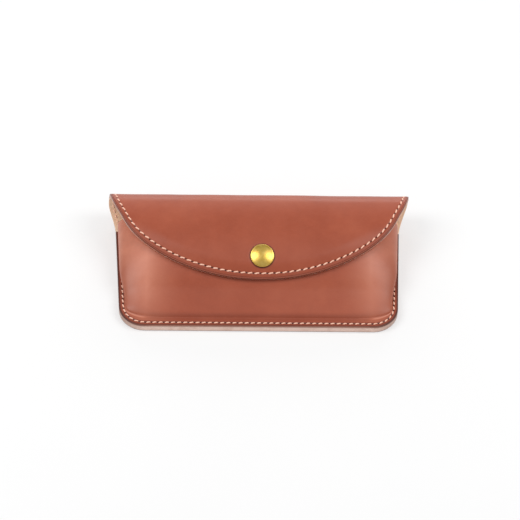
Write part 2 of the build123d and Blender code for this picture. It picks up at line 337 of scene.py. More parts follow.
def rounded_path(corners, radius, step=0.25):
    """Dense points along straight runs joined by equal arcs."""
    corners = [np.array(c, float) for c in corners]
    points = [corners[0]]
    for before, corner, after in zip(corners, corners[1:], corners[2:]):
        a, b = unit(before - corner), unit(after - corner)
        half = math.acos(float(a @ b)) / 2
        centre = corner + unit(a + b) * radius / math.sin(half)
        start, end = corner + a * radius / math.tan(half), corner + b * radius / math.tan(half)
        first, last = unit(start - centre), unit(end - centre)
        turn = math.acos(float(first @ last))
        count = int(radius * turn / step) + 1
        for i in range(count + 1):
            t = i / count
            mix = math.sin((1 - t) * turn) * first + math.sin(t * turn) * last
            points.append(centre + radius * mix / math.sin(turn))
    points.append(corners[-1])
    points = np.array(points)
    marks = lengths(points)
    return at(points, marks, np.linspace(0, marks[-1], int(marks[-1] / step) + 1))


def rounding(distance, radius=ROUND):
    """Depth of a rounded edge's face."""
    left = np.clip(radius - distance, 0, radius)
    return radius - np.sqrt(radius**2 - left**2)


def relief(distance, crease=CREASE):
    """Depth of a leather face beside its edge: round edge, crease and stitch channel."""
    groove = CREASE_DEPTH * bell(distance, crease, CREASE_WIDTH)
    channel = CHANNEL_DEPTH * bell(distance, FLAP_INSET, CHANNEL_WIDTH)
    between = smooth(ROUND, crease, distance) * (1 - smooth(crease, FLAP_INSET, distance))
    return rounding(distance) + groove + channel - CROWN_HEIGHT * between


def inward_directions(edge, ends, ease):
    """Directions in from an edge, one unit of which is one millimetre clear of it. They turn from
    the given directions at its two ends to square with it over the ease distance."""
    marks = lengths(edge)
    along = unit(np.gradient(edge, axis=0))
    square = np.stack([-along[:, 1], along[:, 0]], axis=-1)
    square *= np.sign(square[0] @ np.array(ends[0]))
    square[0], square[-1] = square[1], square[-2]
    first = smooth(0, ease, marks)[:, None]
    last = smooth(0, ease, marks[-1] - marks)[:, None]
    turned = np.where(first < 1, unit((1 - first) * ends[0] + first * square), square)
    turned = np.where(last < 1, unit((1 - last) * ends[1] + last * square), turned)
    clear = np.abs(turned[:, 0] * along[:, 1] - turned[:, 1] * along[:, 0])
    return turned / clear[:, None]


def stitch_marks(length, pitch):
    """Places of the needle holes along a path."""
    return np.linspace(0, length, round(length / pitch) + 1)


def column_marks(holes, start, end):
    """Places of the mesh columns: a few to each stitch, between two ends."""
    count = (len(holes) - 1) * COLUMNS_PER_STITCH
    marks = np.linspace(holes[0], holes[-1], count + 1)
    inside = marks[(marks > start + 0.2) & (marks < end - 0.2)]
    return np.concatenate([[start], inside, [end]])


def hole_mask(marks, holes):
    """1 at the columns that hold a needle hole."""
    gap = np.abs(marks[:, None] - holes[None]).min(axis=1)
    return (gap < 0.02).astype(float)


# ---- meshes


class Shell:
    """Closed thin sheet built from grids of outer and inner points, cut into pieces."""

    def __init__(self):
        self.outer, self.inner, self.faces, self.group = [], [], [], []
        self.values = {"edge": [], "hole": [], "painted_light": []}
        self.count = 0

    def add(self, outer, inner, group, **values):
        """Two grids of points (rows, columns, 3), a group by row, and numbers for each point:
        its edge distance, hole mask and painted light: painted shade below 0, painted highlight
        above."""
        rows, columns = outer.shape[:2]
        index = np.arange(rows * columns).reshape(rows, columns) + self.count
        quads = np.stack([index[:-1, :-1], index[:-1, 1:], index[1:, 1:], index[1:, :-1]], axis=-1)
        self.faces.append(quads.reshape(-1, 4))
        self.group.append(np.repeat(group, columns - 1))
        self.outer.append(outer.reshape(-1, 3))
        self.inner.append(inner.reshape(-1, 3))
        for name, store in self.values.items():
            store.append(np.broadcast_to(values.get(name, 0.0), (rows, columns)).ravel())
        self.count += rows * columns

    def weld(self):
        """Merges the grids' shared points and drops faces that shrink to nothing."""
        outer = np.concatenate(self.outer)
        same = np.round(outer, 4)
        _, first, new = np.unique(same, axis=0, return_index=True, return_inverse=True)
        new = new.ravel()
        faces, group = [], []
        for quad, g in zip(new[np.concatenate(self.faces)], np.concatenate(self.group)):
            ring = [v for i, v in enumerate(quad) if v != quad[i - 1]]
            if len(ring) > 2 and len(set(ring)) == len(ring):
                faces.append([int(v) for v in ring])
                group.append(int(g))
        inner = np.concatenate(self.inner)[first]
        values = {name: np.concatenate(store)[first] for name, store in self.values.items()}
        return outer[first], inner, values, faces, group

    def pieces(self, names, materials):
        """One closed object for each group, with the whole sheet's shading across the cuts.
        materials are those of the outer face, the inner face and the cut edge."""
        outer, inner, values, faces, group = self.weld()
        count = len(outer)
        points = np.concatenate([outer, inner])
        used = {}
        for i, face in enumerate(faces):
            for a, b in zip(face, face[1:] + face[:1]):
                used[(a, b)] = i
        rim = {(a, b): i for (a, b), i in used.items() if (b, a) not in used}
        full = faces + [[v + count for v in face[::-1]] for face in faces]
        full += [[b, a, a + count, b + count] for a, b in rim]
        kinds = [0] * len(faces) + [1] * len(faces) + [2] * len(rim)
        owner = group + group + [group[i] for i in rim.values()]
        normals = corner_normals(points, full)
        starts = np.cumsum([0] + [len(face) for face in full])
        made = []
        for g, name in enumerate(names):
            mine = [i for i, o in enumerate(owner) if o == g]
            own = {(a, b) for (a, b), i in used.items() if group[i] == g}
            cuts = [(a, b) for a, b in own if (b, a) in used and (b, a) not in own]
            ring = [full[i] for i in mine] + [[b, a, a + count, b + count] for a, b in cuts]
            kind = [kinds[i] for i in mine] + [2] * len(cuts)
            shading = [tuple(n) for i in mine for n in normals[starts[i] : starts[i + 1]]]
            shading += [(0.0, 0.0, 0.0)] * (4 * len(cuts))
            order = sorted({v for face in ring for v in face})
            place = {v: i for i, v in enumerate(order)}
            ring = [[place[v] for v in face] for face in ring]
            obj = mesh_object(name, points[order], ring, materials)
            obj.data.polygons.foreach_set("material_index", kind)
            obj.data.set_sharp_from_angle(angle=SHARP)
            obj.data.normals_split_custom_set(shading)
            for key, stored in values.items():
                value(obj, key, [stored[v % count] for v in order])
            made.append(obj)
        return made


def corner_normals(points, faces):
    """Shading directions of a whole mesh at its faces' corners."""
    whole = bpy.data.meshes.new("whole")
    whole.from_pydata(points.tolist(), [], faces)
    whole.set_sharp_from_angle(angle=SHARP)
    normals = np.zeros(len(whole.loops) * 3, np.float32)
    whole.corner_normals.foreach_get("vector", normals)
    bpy.data.meshes.remove(whole)
    return normals.reshape(-1, 3)


def mesh_object(name, points, faces, materials):
    """Mesh object from points in millimetres, smooth shaded."""
    mesh = bpy.data.meshes.new(name)
    mesh.from_pydata((np.asarray(points) * MM).tolist(), [], faces)
    mesh.shade_smooth()
    for material in materials:
        mesh.materials.append(material)
    obj = bpy.data.objects.new(name, mesh)
    bpy.context.scene.collection.objects.link(obj)
    return obj


def value(obj, name, values):
    """Stores a number for each point of a mesh, for its material to read."""
    attribute = obj.data.attributes.new(name, "FLOAT", "POINT")
    attribute.data.foreach_set("value", np.asarray(values, np.float32))


def u_grid(edge, inward, band, foot_rows, join, rows):
    """Plan grid in from an edge: band rows at set distances, then rows of given points, then even
    rows to a join line. Returns (rows, columns, 2)."""
    band_rows = [edge + d * inward for d in band] + list(foot_rows)
    last = band_rows[-1]
    shares = np.linspace(0, 1, rows + 1)[1:]
    return np.array(band_rows + [last + t * (join - last) for t in shares])


# ---- materials


def linear(red, green, blue):
    """Linear colour from display values of 0 to 255."""
    return tuple(((c / 255 + 0.055) / 1.055) ** 2.4 for c in (red, green, blue)) + (1.0,)


class Recipe:
    """Node material, whose functions add nodes and return outputs. Colours are display values."""

    def __init__(self, name):
        self.made = bpy.data.materials.new(name)
        self.made.use_nodes = True
        self.tree = self.made.node_tree
        self.shader = self.tree.nodes["Principled BSDF"]
        self.place = self.add("TexCoord", "Object")

    def fill(self, node, inputs):
        """Links outputs to a node's inputs and sets the inputs given as numbers."""
        for key, source in inputs.items():
            if isinstance(source, bpy.types.NodeSocket):
                self.tree.links.new(source, node.inputs[key])
            else:
                node.inputs[key].default_value = source

    def add(self, kind, output, inputs=None, **settings):
        node = self.tree.nodes.new("ShaderNode" + kind)
        for key, setting in settings.items():
            setattr(node, key, setting)
        self.fill(node, inputs or {})
        return node.outputs[output]

    def finish(self, base, rough, normal, others=()):
        """Fills the shader's inputs and returns the material."""
        inputs = {"Base Color": base, "Roughness": rough, "Normal": normal} | dict(others)
        self.fill(self.shader, inputs)
        return self.made

    def attribute(self, name):
        return self.add("Attribute", "Fac", attribute_name=name)

    def axis(self, name):
        return self.add("SeparateXYZ", name, {0: self.place})

    def noise(self, scale, detail, roughness):
        inputs = {"Vector": self.place, "Scale": scale, "Detail": detail, "Roughness": roughness}
        return self.add("TexNoise", "Fac", inputs)

    def layers(self, scale, distortion, detail_scale=1.0):
        """Level bands, like the layers of a cut edge."""
        inputs = {"Vector": self.place, "Scale": scale, "Distortion": distortion}
        inputs |= {"Detail": 2.0, "Detail Scale": detail_scale}
        return self.add("TexWave", "Fac", inputs, bands_direction="Z")

    def math(self, operation, *sources):
        return self.add("Math", 0, dict(enumerate(sources)), operation=operation)

    def product(self, first, *others):
        for other in others:
            first = self.math("MULTIPLY", first, other)
        return first

    def fit(self, source, low, high, to_low=0.0, to_high=1.0):
        """Number brought from one range to another."""
        inputs = {"Value": source, "From Min": low, "From Max": high}
        return self.add("MapRange", "Result", inputs | {"To Min": to_low, "To Max": to_high})

    def fit_mm(self, source, low, high, to_low=0.0, to_high=1.0):
        """Place or distance in metres brought from a range in millimetres to another range."""
        return self.fit(source, low * MM, high * MM, to_low, to_high)

    def mix(self, factor, a, b):
        a, b = (c if isinstance(c, bpy.types.NodeSocket) else linear(*c) for c in (a, b))
        return self.add("Mix", 2, {0: factor, 6: a, 7: b}, data_type="RGBA")

    def ramp(self, source, stops):
        """Colour ramp over a number, from (position, colour) stops."""
        colour = self.add("ValToRGB", "Color", {"Fac": source})
        elements = colour.node.color_ramp.elements
        while len(elements) < len(stops):
            elements.new(0.5)
        for element, (position, stop) in zip(elements, stops):
            element.position = position
            element.color = linear(*stop)
        return colour

    def bump(self, height, strength, distance, below=None):
        """Bumps by a height, over the normal of the bumps below them."""
        inputs = {"Height": height, "Strength": strength, "Distance": distance}
        if below is not None:
            inputs["Normal"] = below
        return self.add("Bump", "Normal", inputs)


def paint_front_light(m, base, streak, edge):
    """Painted light on the leather stretched over the front: painted highlights on its side
    shoulders and bottom corners, painted shade in its foot's crease."""
    painted_light = m.attribute("painted_light")
    # painted highlight at the bottom corners, then painted shade in the foot's crease
    base = m.mix(m.fit(painted_light, 0, 1, 0, 0.8), base, (214, 142, 118))
    base = m.mix(m.fit(painted_light, 0, -1, 0, 0.45), base, (84, 24, 10))
    # painted highlight on the side shoulders, stronger on the left and weaker towards the bottom
    across = m.math("ABSOLUTE", m.axis("X"))
    rising = m.fit_mm(across, SHOULDER_HIGHLIGHT_START, SHOULDER_HIGHLIGHT_PEAK)
    past_peak = m.fit_mm(across, SHOULDER_HIGHLIGHT_PEAK, SHOULDER_HIGHLIGHT_END, 1, 0.4)
    falling = m.math("MAXIMUM", past_peak, m.fit_mm(m.axis("Y"), -12, 4, 0.4, 0.95))
    shoulder_highlight = m.product(
        rising,
        rising,
        falling,
        m.fit(streak, 0.25, 0.75, 0.48, 0.66),
        m.fit_mm(m.axis("X"), -60, 60, 1, 0.72),
        m.fit_mm(m.axis("Y"), -36, -14, 0.45, 1),
        m.fit(edge, 3.0, 4.5),
    )
    return m.mix(shoulder_highlight, base, (222, 146, 118))


def leather_face(name, burnish, stretched=False):
    """Smooth waxed leather: cloudy dye, fine pores, a creased and burnished border, painted shade in
    its needle holes, a painted shadow round the press stud's cap and, but for the front, a painted
    highlight along its rounded edge.
    """
    m = Recipe(name)
    edge = m.attribute("edge")
    cloud = m.noise(38, 4, 0.6)
    streak = m.noise(140, 3, 0.5)
    fine = m.noise(900, 3, 0.6)
    base = m.ramp(cloud, [(0.28, (150, 68, 42)), (0.5, (158, 74, 47)), (0.74, (165, 81, 53))])
    base = m.mix(m.fit(streak, 0.3, 0.7, 0.0, 0.2), base, (136, 60, 39))
    base = m.mix(m.fit(fine, 0.35, 0.75, 0.0, 0.08), base, (182, 102, 74))
    if stretched:
        # painted shade and painted highlights of the front
        base = paint_front_light(m, base, streak, edge)
    base = m.mix(m.fit(edge, 2.7, 3.7, 0.34 if stretched else 0.22, 0.0), base, (112, 48, 33))
    if not stretched:
        # painted highlight along the rounded edge
        rim = m.product(m.fit(edge, 0.35, 0.55, 0, 1), m.fit(edge, 0.95, 0.75, 0, 0.4))
        base = m.mix(rim, base, (182, 104, 78))
    line = m.math("SUBTRACT", edge, STRETCHED_CREASE if stretched else CREASE)
    line = m.math("ABSOLUTE", line)
    base = m.mix(m.fit(line, 0.05, 0.5, 0.45, 0), base, (84, 34, 24))
    reach = 1.0 if stretched else 0.85
    base = m.mix(m.fit(edge, reach - 0.6, reach, burnish, 0.0), base, (76, 36, 25))
    if stretched:
        middle = m.fit_mm(m.math("ABSOLUTE", m.axis("X")), 62, 76, 1, 0)
        base = m.mix(m.product(m.fit(edge, 0.12, 0.4, 0.8, 0), middle), base, (164, 112, 94))
    # painted shadow in a ring round the press stud's cap
    snap = {0: m.place, 1: tuple(snap_place() * MM)}
    from_snap = m.add("VectorMath", "Value", snap, operation="DISTANCE")
    near = m.fit_mm(from_snap, CAP_RADIUS + 0.1, CAP_RADIUS + 0.9, 0.8, 0)
    base = m.mix(near, base, (58, 26, 14))
    # painted shade in the needle holes
    base = m.mix(m.fit(m.attribute("hole"), 0.08, 0.6, 0, 0.95), base, (34, 15, 10))
    cells = {"Vector": m.place, "Scale": 1900.0, "Randomness": 1.0}
    pores = m.add("TexVoronoi", "Distance", cells, feature="F1")
    normal = m.bump(m.fit(pores, 0.0, 0.35, 0, 1), 0.10, 0.00006)
    normal = m.bump(m.noise(520, 4, 0.6), 0.16, 0.00012, normal)
    normal = m.bump(m.noise(90, 3, 0.5), 0.22, 0.0004, normal)
    speckle = m.fit(fine, 0.3, 0.7, -0.03, 0.03)
    rough = m.math("ADD", m.fit(cloud, 0.25, 0.75, 0.36, 0.47), speckle)
    return m.finish(base, rough, normal, {"Specular IOR Level": 0.42})


def leather_edge():
    """Burnished cut edge of stacked leather: fine layers and a waxed sheen."""
    m = Recipe("leather_edge")
    layers = m.layers(260.0, 3.0, 1.5)
    cloud = m.noise(160, 3, 0.6)
    base = m.mix(m.fit(layers, 0.3, 0.8, 0, 0.5), (166, 98, 74), (146, 82, 60))
    base = m.mix(m.fit(cloud, 0.35, 0.7, 0, 0.5), base, (182, 126, 102))
    normal = m.bump(layers, 0.1, 0.0001, m.bump(cloud, 0.12, 0.0001))
    rough = m.fit(cloud, 0.3, 0.7, 0.3, 0.45)
    return m.finish(base, rough, normal, {"Coat Weight": 0.2, "Coat Roughness": 0.25})


def pale_edge(name, waxed_height=None):
    """Rubbed cut edge in fine layers: pale, and darker towards its left and right ends. Above the
    waxed height it is burnished dark."""
    m = Recipe(name)
    layers = m.layers(300.0, 2.0)
    cloud = m.noise(180, 4, 0.6)
    base = m.mix(m.fit(layers, 0.3, 0.8, 0, 0.6), (240, 210, 196), (220, 180, 162))
    base = m.mix(m.fit(cloud, 0.45, 0.75, 0, 0.5), base, (196, 148, 128))
    sides = m.fit_mm(m.math("ABSOLUTE", m.axis("X")), 66, 80, 0, 0.6)
    base = m.mix(sides, base, (128, 94, 78))
    if waxed_height is not None:
        waxed = m.fit_mm(m.axis("Z"), waxed_height - 1.0, waxed_height, 0, 0.75)
        base = m.mix(waxed, base, (122, 76, 60))
    normal = m.bump(layers, 0.25, 0.0001, m.bump(cloud, 0.3, 0.0002))
    rough = m.fit(cloud, 0.3, 0.7, 0.45, 0.6)
    return m.finish(base, rough, normal)


def lining_face():
    """Undyed split leather: pale, matt, with a short nap."""
    m = Recipe("lining_face")
    nap = m.noise(1500, 4, 0.7)
    stops = [(0.3, (242, 202, 170)), (0.5, (248, 213, 183)), (0.72, (252, 224, 198))]
    base = m.ramp(m.noise(60, 4, 0.6), stops)
    base = m.mix(m.fit(nap, 0.35, 0.7, 0.0, 0.35), base, (224, 180, 148))
    normal = m.bump(nap, 0.35, 0.00015, m.bump(m.noise(320, 3, 0.6), 0.25, 0.0003))
    sheen = {"Sheen Weight": 0.25, "Sheen Roughness": 0.5, "Specular IOR Level": 0.3}
    return m.finish(base, m.fit(nap, 0.3, 0.7, 0.78, 0.92), normal, sheen)


def thread():
    """Waxed linen thread with fibres."""
    m = Recipe("waxed_thread")
    fibre = m.noise(2600, 3, 0.6)
    base = m.ramp(fibre, [(0.3, (226, 168, 142)), (0.6, (254, 208, 184))])
    base = m.mix(m.fit(m.noise(120, 2, 0.5), 0.4, 0.7, 0, 0.3), base, (232, 178, 148))
    rough = m.fit(fibre, 0.3, 0.7, 0.5, 0.7)
    return m.finish(base, rough, m.bump(fibre, 0.4, 0.00012), {"Sheen Weight": 0.15})


def metal(name, dark, light, low, high, scratch):
    """Polished metal with a faint tarnish and fine rubbing marks."""
    m = Recipe(name)
    cloud = m.noise(300, 4, 0.6)
    base = m.mix(m.fit(cloud, 0.3, 0.7), dark, light)
    normal = m.bump(m.noise(2400, 2, 0.5), scratch, 0.00004)
    return m.finish(base, m.fit(cloud, 0.3, 0.7, low, high), normal, {"Metallic": 1.0})


FACE = leather_face("leather_face", 0.62)
STRETCHED_FACE = leather_face("stretched_leather_face", 0.9, stretched=True)
EDGE = leather_edge()
PALE_EDGE = pale_edge("pale_edge")
RIM = pale_edge("seam_rim", waxed_height=FLANGE_TOP - 0.5)
LINING_FACE = lining_face()
LINING_FACES = (LINING_FACE, LINING_FACE, PALE_EDGE)
THREAD = thread()
BRASS = metal("snap_brass", (212, 173, 76), (224, 192, 108), 0.3, 0.4, 0.1)
WIRE = metal("spring_wire", (150, 150, 152), (186, 186, 188), 0.25, 0.35, 0.1)


# ---- the bent sheet


def flap_edge():
    """Dense points (x, s) along the flap's free edge, from the left join to the right."""
    top = flap_y(FLAP_JOIN)
    share = (EDGE_TIP_Y + EDGE_DEPTH - top) / EDGE_DEPTH
    limit = math.acos(share ** (EDGE_POWER / 2))
    turn = np.linspace(-limit, limit, 4001)
    x = EDGE_WIDTH * np.sign(turn) * np.abs(np.sin(turn)) ** (2 / EDGE_POWER)
    y = EDGE_TIP_Y + EDGE_DEPTH - EDGE_DEPTH * np.cos(turn) ** (2 / EDGE_POWER)
    x = x - np.sign(x) * edge_trim(y)
    path = np.stack([x, flap_s(y)], axis=-1)
    marks = lengths(path)
    return at(path, marks, np.linspace(0, marks[-1], 2001))


def fold_inset(s):
    """Share of the flap's distances from its edge that the fold's sides keep at s: the stitch line
    closes up from the flap's inset to the seam's."""
    start = SEAM_INSET / FLAP_INSET
    return start + (FLAP_SIDE_SHARE - start) * smooth(0, FOLD_LENGTH, s)


def flap_share(s):
    """Share of its distances from its edge that the flap keeps at s."""
    return FLAP_SIDE_SHARE + (FLAP_TIP_SHARE - FLAP_SIDE_SHARE) * smooth(SHARE_START, SHARE_END, s)


def side_slant(s):
    """Sideways distance for one millimetre clear of the sheet's side edge."""
    slope = (sheet_half_width(s + 0.05) - sheet_half_width(s - 0.05)) / 0.1
    return np.sqrt(1 + slope**2)


def fold_side(s, distance):
    """Half-width at a distance in from the fold's side edge."""
    return sheet_half_width(s) - distance * fold_inset(s) * side_slant(s)


class Sheet:
    """Layout of the back, fold and flap: stitch path, mesh columns and rows."""

    def __init__(self):
        self.edge = flap_edge()
        self.inward = inward_directions(self.edge, SIDEWAYS, FLAP_EASE)
        self.inward *= flap_share(self.edge[:, 1])[:, None]
        line = self.edge + FLAP_INSET * self.inward
        side_s = np.arange(BACK_JOIN, FLAP_JOIN, 0.1)
        side = np.stack([-fold_side(side_s, FLAP_INSET), side_s], axis=-1)
        self.path = np.concatenate([side, line, (side * [-1, 1])[::-1]])
        self.marks = lengths(self.path)
        self.flap_start = self.marks[len(side)]
        self.flap_end = self.marks[len(side) + len(line) - 1]
        self.holes = stitch_marks(self.marks[-1], FLAP_PITCH)
        self.columns = column_marks(self.holes, self.flap_start, self.flap_end)
        line_marks = self.flap_start + lengths(line)
        self.edge = at(self.edge, line_marks, self.columns)
        self.inward = at(self.inward, line_marks, self.columns)
        self.column_holes = hole_mask(self.columns, self.holes)
        self.rows, self.row_holes = self.fold_rows()

    def fold_rows(self):
        """Places s of the fold's rows: the pieces' ends, and a few to each stitch between them."""
        count = (len(self.holes) - 1) * COLUMNS_PER_STITCH
        marks = np.linspace(0, self.marks[-1], count + 1)
        marks = marks[marks < self.flap_start]
        places = np.interp(marks, self.marks, self.path[:, 1])
        ends = np.array(PIECE_ENDS)
        keep = np.abs(places[:, None] - ends[None]).min(axis=1) > 0.2
        rows = np.sort(np.concatenate([places[keep], ends]))
        holes = np.interp(self.holes[self.holes < self.flap_start], self.marks, self.path[:, 1])
        return rows, hole_mask(rows, holes)


SHEET_LAYOUT = Sheet()


def tuck(x, s):
    """How far the flap's free edge bends in, to rest on the front."""
    edge = flap_edge()[::8]
    spread = np.empty(x.shape)
    for i, (row_x, row_s) in enumerate(zip(x, s)):
        gaps = np.hypot(row_x[:, None] - edge[:, 0], row_s[:, None] - edge[:, 1])
        spread[i] = gaps.min(axis=1)
    low = smooth(FLAP_JOIN + TUCK_START, FLAP_JOIN + TUCK_FULL, s)
    return TUCK * low * (1 - smooth(0, TUCK_WIDTH, spread))


def needle_holes(distance, mask):
    """1 in the middle of each needle hole, from distances in and a mask of the holes."""
    return bell(distance, FLAP_INSET, HOLE_SPREAD) * mask


def sheet_grids():
    """Plan points, edge distances and hole masks of the flap's grid and the fold's grid."""
    layout = SHEET_LAYOUT
    inner = layout.edge + BAND[-1] * layout.inward
    join = np.stack([inner[:, 0], np.full(len(inner), FLAP_JOIN)], axis=-1)
    rows = 46
    flap = u_grid(layout.edge, layout.inward, BAND, [], join, rows)
    distance = np.array(BAND + [FAR] * rows)[:, None]
    side = np.stack([fold_side(layout.rows, d) for d in BAND], axis=-1)
    share = inner[1:-1, 0] / -inner[0, 0]
    middle = side[:, -1:] * share[None]
    x = np.concatenate([-side, middle, side[:, ::-1]], axis=1)
    fold = np.stack([x, np.broadcast_to(layout.rows[:, None], x.shape)], axis=-1)
    across = np.array(BAND + [FAR] * middle.shape[1] + BAND[::-1])[None]
    return (
        (flap, distance, needle_holes(distance, layout.column_holes[None])),
        (fold, across, needle_holes(across, layout.row_holes[:, None])),
    )


def bend_with_fold(obj):
    """Bakes the placing of one of the fold's pieces into its points."""
    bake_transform(obj)


def make_sheet(kind, strip, top, bottom, materials, inner_round):
    """Bent sheet from one depth to another, in pieces: those of the fold, then the flap. The one
    that starts at the outer face has its creases and needle holes."""
    count = len(JOINTS)
    names = [f"fold_{kind}_{i + 1}" for i in range(count)] + [f"flap_{kind}_sheet"]
    shell = Shell()
    for (grid, away, mask), is_flap in zip(sheet_grids(), (True, False)):
        x, s = grid[..., 0], grid[..., 1]
        away = np.broadcast_to(away, x.shape)
        bend = tuck(x, s) if is_flap else 0
        outer = top + bend
        if top == 0:
            outer = outer + relief(away) + HOLE_DEPTH * mask
        inner = bottom + bend - rounding(away, inner_round)
        group = np.full(len(grid) - 1, count)
        if not is_flap:
            middle = (grid[:-1, 0, 1] + grid[1:, 0, 1]) / 2
            group = np.searchsorted(PIECE_ENDS, middle) - 1
        points = sheet_point(x, s, outer), sheet_point(x, s, inner)
        shell.add(*points, group, edge=away, hole=mask)
    *fold, flap = shell.pieces(names, materials)
    for i, obj in enumerate(fold):
        bend_with_fold(obj)
    for i, obj in enumerate(fold[:-1]):
        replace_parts(obj, f"{strip}_{i + 1}")
    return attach(flap, BODIES[-1])


flap_leather = make_sheet(
    "leather", "fold_strip", 0.0, LEATHER, (FACE, LINING_FACE, EDGE), 0.0
)
flap_lining = make_sheet(
    "suede", "fold_lining", LEATHER, SHEET, LINING_FACES, 0.25
)
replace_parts(flap_leather, "flap_leather")
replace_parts(flap_lining, "flap_lining")


# ---- the flat back


def seam_line(top, ends):
    """Edge of the back from the left, round the bottom corners, to the right, up to y = top, the
    directions in from it, and its line of stitches."""
    right = [(BOTTOM_HALF_WIDTH, BOTTOM_Y), (back_half_width(top), top)]
    edge = rounded_path([(-x, y) for x, y in reversed(right)] + right, CORNER_RADIUS)
    inward = inward_directions(edge, ends, SEAM_EASE)
    return edge, inward, edge + SEAM_INSET * inward


def seam_holes():
    """Needle holes of the seam, from its left top end."""
    return stitch_marks(lengths(seam_line(SEAM_TOP_Y, SIDEWAYS)[2])[-1], SEAM_PITCH)


class Seam:
    """Layout of the sewn edge up to y = top: mesh columns in step with the stitches."""

    def __init__(self, top, ends):
        edge, inward, self.path = seam_line(top, ends)
        self.marks = lengths(self.path)
        holes = seam_holes()
        self.holes = holes + (self.marks[-1] - holes[-1]) / 2
        columns = column_marks(self.holes, 0, self.marks[-1])
        self.edge, self.inward = at(edge, self.marks, columns), at(inward, self.marks, columns)
        self.column_holes = hole_mask(columns, self.holes)


def pouch_sheet(name, node, outer, inner, materials, values):
    """Closed sheet of the pouch between two grids, in the place of a CAD node."""
    shell = Shell()
    shell.add(outer, inner, np.zeros(len(outer) - 1, int), **values)
    (obj,) = shell.pieces([name], materials)
    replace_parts(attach(obj, "pouch"), node)


def make_back():
    """Back leather and lining, flat on the surface below, up to the fold's first row."""
    layout = Seam(SEAM_TOP_Y, SIDEWAYS)
    band = np.array(BAND) * SEAM_INSET / FLAP_INSET
    inner = layout.edge + band[-1] * layout.inward
    x = np.linspace(inner[0, 0], inner[-1, 0], len(inner))
    join = np.stack([x, np.full(len(x), SEAM_TOP_Y)], axis=-1)
    rows = 30
    grid = u_grid(layout.edge, layout.inward, band, [], join, rows)
    away = np.broadcast_to(np.array(BAND + [FAR] * rows)[:, None], grid.shape[:2])
    hole = needle_holes(away, layout.column_holes[None])
    x, s = grid[..., 0], grid[..., 1] - FOLD_Y
    outer = sheet_point(x, s, relief(away) + HOLE_DEPTH * hole)
    between = sheet_point(x, s, np.full(x.shape, LEATHER))
    inside = sheet_point(x, s, np.full(x.shape, SHEET))
    values = {"edge": away * SEAM_EDGE_SCALE, "hole": hole}
    pouch_sheet("back_leather", "back_panel", outer, between, (FACE, LINING_FACE, PALE_EDGE), values)
    pouch_sheet("back_suede", "back_lining", between, inside, LINING_FACES, values)


make_back()


# ---- the moulded front


def mouth_y(x):
    """The front's scooped mouth edge."""
    return MOUTH_Y - MOUTH_SCOOP * (1 - (x / WIDEST) ** 2)


def roof(y):
    """Height of the moulded front along its middle: a sloping apron, then a vault."""
    vault = VAULT_Z + np.sqrt(FRONT_RADIUS**2 - (np.maximum(y, APRON_Y) - VAULT_Y) ** 2)
    steep = (VAULT_Y - APRON_Y) / math.sqrt(FRONT_RADIUS**2 - (APRON_Y - VAULT_Y) ** 2)
    below = np.maximum(APRON_Y - y, 0)
    eased = (steep - APRON_SLOPE) * APRON_EASE * (1 - np.exp(-below / APRON_EASE))
    return vault - APRON_SLOPE * below - eased


def moulding(x, y):
    """How far the front has risen from its foot to its roof, from 0 to 1, and how much of the
    wall there is a side wall."""
    side = 1 - np.clip((back_half_width(y) - SIDE_FOOT - np.abs(x)) / SHOULDER_WIDTH, 0, 1)
    end = 1 - np.clip((y - FOOT_Y) / SHOULDER_DEPTH, 0, 1)
    both = side**SHOULDER_POWER + end**SHOULDER_POWER
    share = side**SHOULDER_POWER / np.maximum(both, 1e-9)
    return np.clip(1 - both, 0, 1) ** (1 / SHOULDER_POWER), share


def front_grid(layout):
    """Plan grid of the front: flange, then rows at even rises of the wall, then to the mouth."""
    start = layout.edge + FLANGE_WIDTH * layout.inward
    crown = back_half_width(MOUTH_Y) - SIDE_FOOT - CROWN_SHARE * SHOULDER_WIDTH
    x = np.linspace(-crown, crown, len(start))
    join = np.stack([x, mouth_y(x)], axis=-1)
    way = unit(join - start)
    reach = np.arange(0.0, 45.0, 0.02)
    along = start[:, None] + reach[None, :, None] * way[:, None]
    rise = np.maximum.accumulate(moulding(along[..., 0], along[..., 1])[0], axis=1)
    walls = []
    for level in RISES:
        first = np.argmax(rise > max(level, 1e-4), axis=1)
        walls.append(start + reach[first][:, None] * way)
    band = np.array(SEAM_BAND) * SEAM_INSET / FLAP_INSET
    flange = [start + t * (walls[0] - start) for t in (0.0, 0.35, 0.7)]
    grid = u_grid(layout.edge, layout.inward, band, flange + walls, join, FRONT_ROWS)
    far = [INSIDE] * (len(grid) - len(SEAM_BAND) - 1)
    away = np.array(SEAM_BAND + [FLAP_INSET * 1.2] + far)[:, None]
    return grid, np.broadcast_to(away, grid.shape[:2]), len(band) + len(flange)


def front_surface(grid, away, hole, foot_row):
    """Outer face of the front, with its foot softened into a crease."""
    x, y = grid[..., 0], grid[..., 1]
    rise, side = moulding(x, y)
    rise[:foot_row] = 0
    belly = smooth(0, 0.22, rise) * (1 - smooth(0.5, 0.98, rise))
    bulge = WALL_BULGE * smooth(BULGE_START_Y, BULGE_FULL_Y, y) * belly * side
    z = FLANGE_TOP + (roof(y) - FLANGE_TOP) * rise
    mould = 0.5 * wobble(1.3 * x + 40, 1.3 * y) * rise
    z = z + mould - relief(away, STRETCHED_CREASE) - HOLE_DEPTH * hole
    points = np.stack([x + np.sign(x) * bulge, y, z], axis=-1)
    for _ in range(FOOT_PASSES):
        near = points[foot_row - 3 : foot_row + 6]
        soft = 0.25 * near[:-2] + 0.5 * near[1:-1] + 0.25 * near[2:]
        points[foot_row - 2 : foot_row + 5] = soft
    return points


